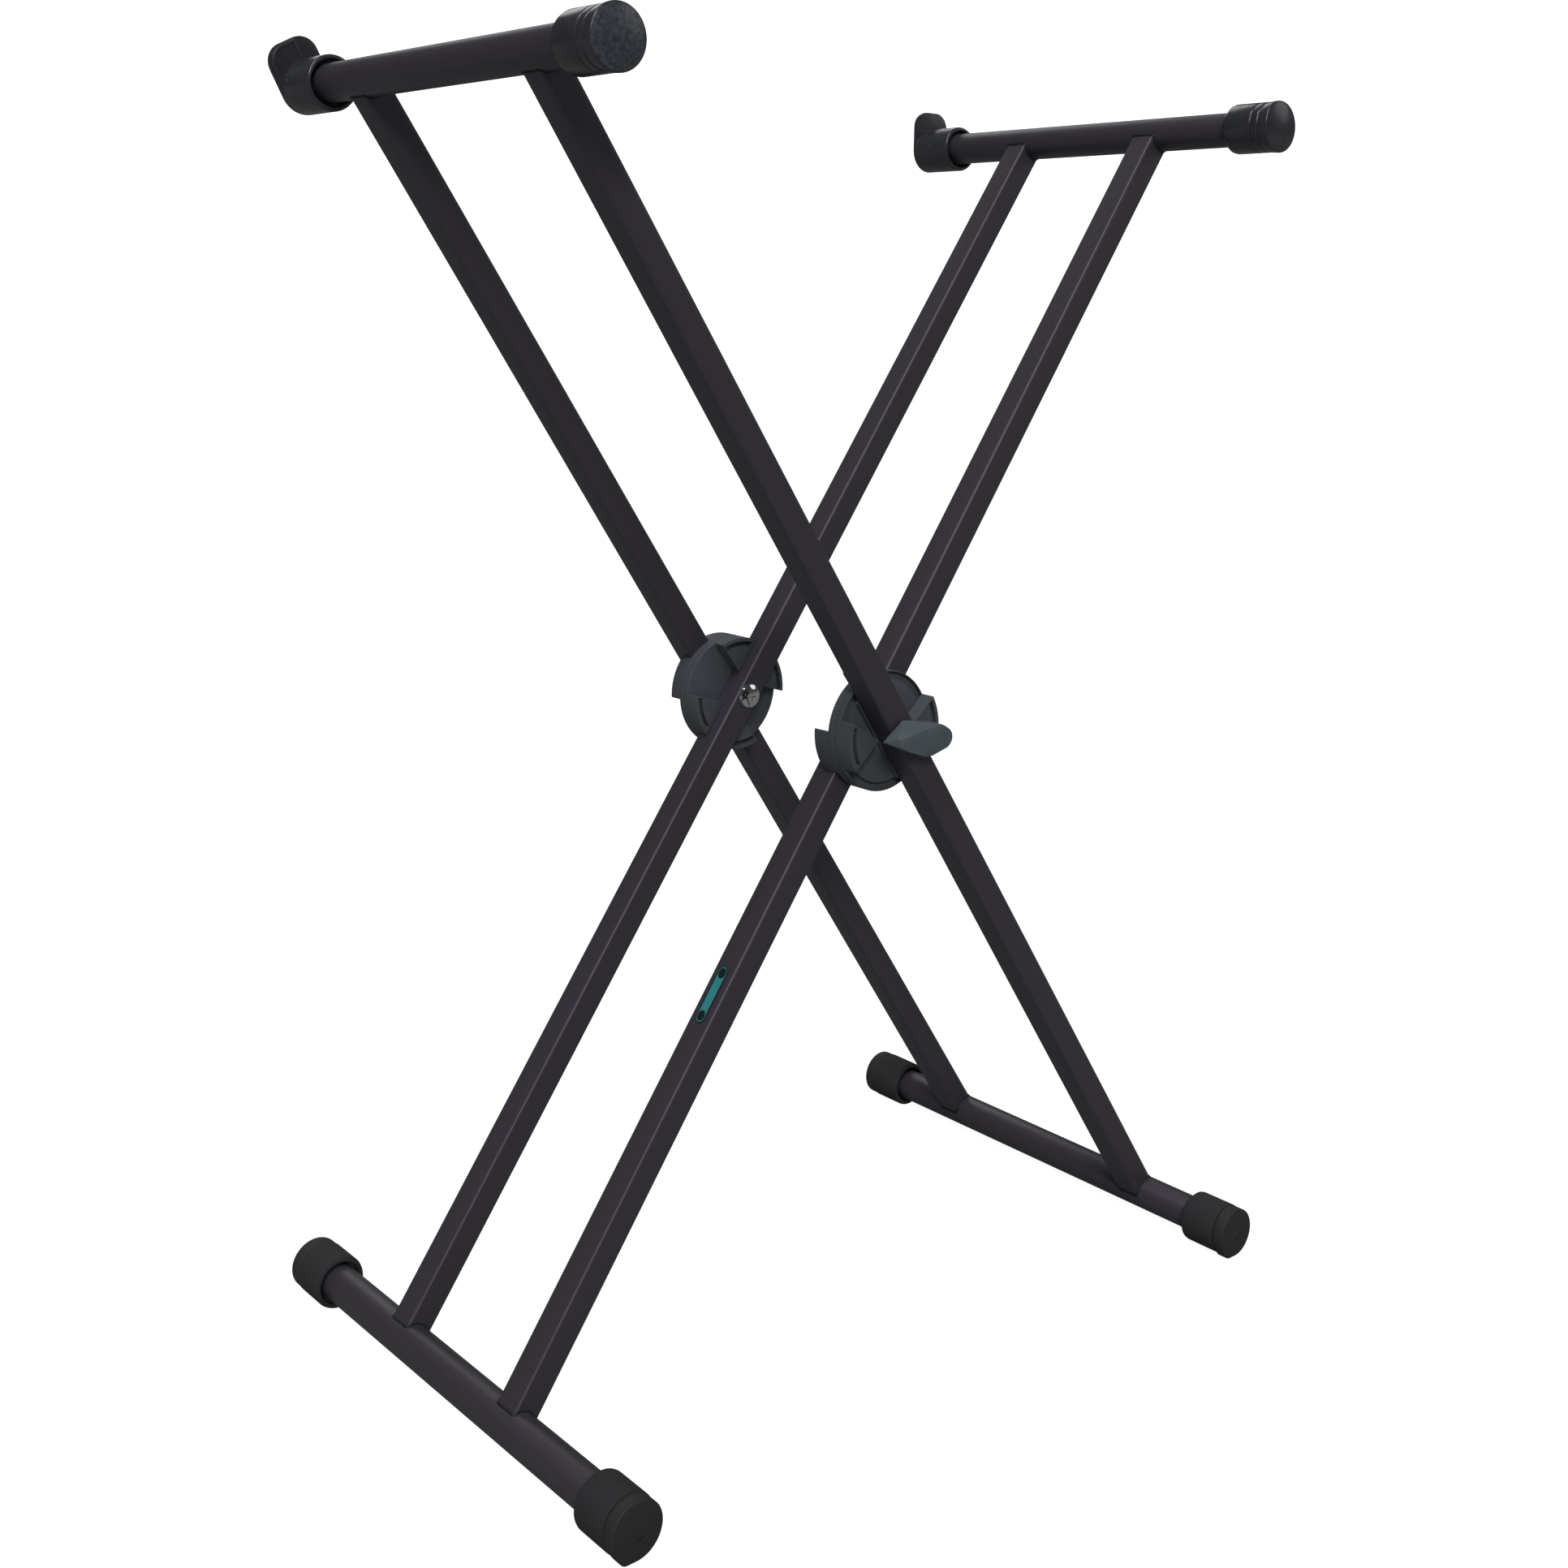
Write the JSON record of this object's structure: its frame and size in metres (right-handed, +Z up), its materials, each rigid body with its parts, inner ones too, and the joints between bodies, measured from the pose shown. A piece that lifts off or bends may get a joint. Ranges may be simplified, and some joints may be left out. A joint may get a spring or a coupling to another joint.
{
  "type": "folding keyboard stand",
  "caption": "Folding X-frame keyboard stand with double-braced welded tube frames, round hubs on one pivot axis, a clamping lever, rubber caps, end stops and levelling feet.",
  "frame": {"origin": "on the floor under the pivot axis, half way along the round tubes", "axes": "+Z up; X is the way the feet spread; Y runs along the round tubes, with the release lever's end at -Y"},
  "size_m": [0.6368, 0.394, 0.8854],
  "materials": {
    "frame_powder_coat": "satin powder coat",
    "black_rubber": "satin moulded rubber",
    "foot_plastic": "semi gloss",
    "hub_nylon": "satin glass-filled nylon",
    "polished_chrome": "polished",
    "zinc_steel": "zinc plated",
    "spring_steel": "dark",
    "white_nylon": "natural nylon",
    "friction_fibre": "matt fibre",
    "badge_teal": "printed film"
  },
  "bodies": {
    "outer_frame": {"outer_front_arm": "frame_powder_coat", "outer_front_arm_spacer": "zinc_steel", "outer_rear_arm": "frame_powder_coat", "outer_rear_arm_spacer": "zinc_steel", "outer_top_tube": "frame_powder_coat", "outer_foot_tube": "frame_powder_coat", "outer_top_cap": "black_rubber", "outer_near_foot_sleeve": "black_rubber", "outer_far_foot_sleeve": "black_rubber", "front_hub_outer_shell": "hub_nylon", "rear_hub_outer_shell": "hub_nylon", "front_clutch_plate": "zinc_steel", "front_friction_disc": "friction_fibre", "front_pivot_bush": "white_nylon", "rear_pivot_bush": "white_nylon", "rear_friction_disc": "friction_fibre", "rear_washer": "zinc_steel"},
    "inner_frame": {"inner_front_arm": "frame_powder_coat", "inner_front_arm_spacer": "zinc_steel", "inner_rear_arm": "frame_powder_coat", "inner_rear_arm_spacer": "zinc_steel", "inner_top_tube": "frame_powder_coat", "inner_foot_tube": "frame_powder_coat", "inner_top_cap": "black_rubber", "inner_near_foot_sleeve": "black_rubber", "inner_far_foot_sleeve": "black_rubber", "front_hub_inner_shell": "hub_nylon", "rear_hub_inner_shell": "hub_nylon", "front_disc_spring": "spring_steel", "rear_clutch_plate": "zinc_steel", "badge": "badge_teal", "front_pivot_bolt": "polished_chrome", "rear_pivot_bolt": "polished_chrome", "rear_lock_nut": "zinc_steel"},
    "thrust_washer": {"thrust_washer": "zinc_steel"},
    "release_lever": {"release_lever": "hub_nylon", "lever_nut": "zinc_steel"},
    "outer_stop": {"outer_keyboard_stop": "black_rubber"},
    "inner_stop": {"inner_keyboard_stop": "black_rubber"},
    "outer_near_ring": {"outer_near_levelling_ring": "foot_plastic"},
    "outer_far_ring": {"outer_far_levelling_ring": "foot_plastic"},
    "inner_near_ring": {"inner_near_levelling_ring": "foot_plastic"},
    "inner_far_ring": {"inner_far_levelling_ring": "foot_plastic"}
  },
  "joints": [
    {"name": "frame_fold", "type": "hinge", "parent": "outer_frame", "child": "inner_frame", "pos_m": [0, 0, 0.42681], "axis": [0, -1, 0], "range_deg": [-34.5, 64.5]},
    {"name": "lever_travel", "type": "slide", "parent": "outer_frame", "child": "thrust_washer", "axis": [0, -1, 0], "range_m": [0, 0.000625]},
    {"name": "lever_turn", "type": "hinge", "parent": "thrust_washer", "child": "release_lever", "pos_m": [0, -0.118, 0.42681], "axis": [0, -1, 0], "range_deg": [0, 180]},
    {"name": "outer_stop_turn", "type": "hinge", "parent": "outer_frame", "child": "outer_stop", "pos_m": [-0.29556, 0.155, 0.8527], "axis": [0, -1, 0], "range_deg": [-35, 90]},
    {"name": "inner_stop_turn", "type": "hinge", "parent": "inner_frame", "child": "inner_stop", "pos_m": [0.29556, 0.161, 0.8527], "axis": [0, -1, 0], "range_deg": [-90, 90]},
    {"name": "outer_near_ring_turn", "type": "hinge", "parent": "outer_frame", "child": "outer_near_ring", "pos_m": [0.28336, -0.19, 0.0185], "axis": [0, -1, 0], "range_deg": [-90, 90]},
    {"name": "outer_far_ring_turn", "type": "hinge", "parent": "outer_frame", "child": "outer_far_ring", "pos_m": [0.28336, 0.19, 0.0185], "axis": [0, -1, 0], "range_deg": [-90, 90]},
    {"name": "inner_near_ring_turn", "type": "hinge", "parent": "inner_frame", "child": "inner_near_ring", "pos_m": [-0.28336, -0.19, 0.0185], "axis": [0, -1, 0], "range_deg": [-90, 90]},
    {"name": "inner_far_ring_turn", "type": "hinge", "parent": "inner_frame", "child": "inner_far_ring", "pos_m": [-0.28336, 0.19, 0.0185], "axis": [0, -1, 0], "range_deg": [-90, 90]}
  ],
  "couplings": [
    {"joint": "lever_travel", "follows": "lever_turn", "m_per_rad": 0.00019894}
  ]
}
